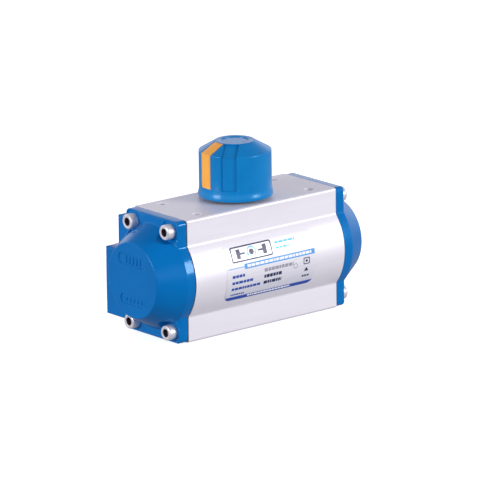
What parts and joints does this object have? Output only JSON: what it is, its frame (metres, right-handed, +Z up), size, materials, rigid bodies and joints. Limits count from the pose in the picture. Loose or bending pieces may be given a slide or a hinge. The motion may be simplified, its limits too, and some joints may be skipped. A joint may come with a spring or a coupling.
{
  "type": "rotary pneumatic actuator",
  "caption": "Double-acting rack and pinion quarter-turn air actuator: extruded body, blue end caps and a tall position indicator on the shaft.",
  "frame": {"origin": "on the pinion's axis, in the plane of the valve mounting face under the body", "axes": "+X along the cylinder, +Y towards the rear air interface, +Z up through the indicator"},
  "size_m": [0.147, 0.0718, 0.1012],
  "materials": {
    "anodised_body": "satin clear anodised extrusion",
    "blue_coating": "die casting with a glossy blue coating",
    "indicator_blue": "satin moulded plastic",
    "indicator_orange": "satin moulded plastic",
    "stainless": "bright stainless fasteners",
    "zinc_steel": "plated and machined",
    "bearing_polymer": "self-lubricating",
    "black_rubber": "matte",
    "cast_aluminium": "machined casting",
    "label_foil": "printed polyester film"
  },
  "bodies": {
    "housing": {"body_extrusion": "anodised_body", "left_end_cap": "blue_coating", "right_end_cap": "blue_coating", "left_cap_gasket": "black_rubber", "right_cap_gasket": "black_rubber", "left_cap_screws": "stainless", "right_cap_screws": "stainless", "lower_shaft_bush": "bearing_polymer", "upper_shaft_bush": "bearing_polymer", "data_label": "label_foil", "stop_screws": "stainless", "stop_nuts": "stainless", "stop_seals": "black_rubber", "thrust_washer": "bearing_polymer"},
    "shaft": {"drive_pinion": "zinc_steel", "stop_cam": "zinc_steel", "cam_spacer": "bearing_polymer", "lower_shaft_seal": "black_rubber", "upper_shaft_seal": "black_rubber", "steel_washer": "stainless", "circlip": "zinc_steel", "position_indicator": "indicator_blue", "indicator_stripes": "indicator_orange", "indicator_screw": "stainless", "indicator_cover": "indicator_blue"},
    "left_slide": {"left_piston": "cast_aluminium", "left_piston_seal": "black_rubber", "left_piston_band": "bearing_polymer", "left_rack_pad": "bearing_polymer"},
    "right_slide": {"right_piston": "cast_aluminium", "right_piston_seal": "black_rubber", "right_piston_band": "bearing_polymer", "right_rack_pad": "bearing_polymer"}
  },
  "joints": [
    {"name": "pinion_turn", "type": "hinge", "parent": "housing", "child": "shaft", "pos_m": [0, 0, 0], "axis": [0, 0, 1], "range_deg": [0, 95]},
    {"name": "left_piston_slide", "type": "slide", "parent": "housing", "child": "left_slide", "axis": [-1, 0, 0], "range_m": [0, 0.0145]},
    {"name": "right_piston_slide", "type": "slide", "parent": "housing", "child": "right_slide", "axis": [1, 0, 0], "range_m": [0, 0.0145]}
  ],
  "couplings": [
    {"joint": "pinion_turn", "follows": "left_piston_slide", "rad_per_m": 114.29},
    {"joint": "right_piston_slide", "follows": "left_piston_slide", "ratio": 1}
  ]
}
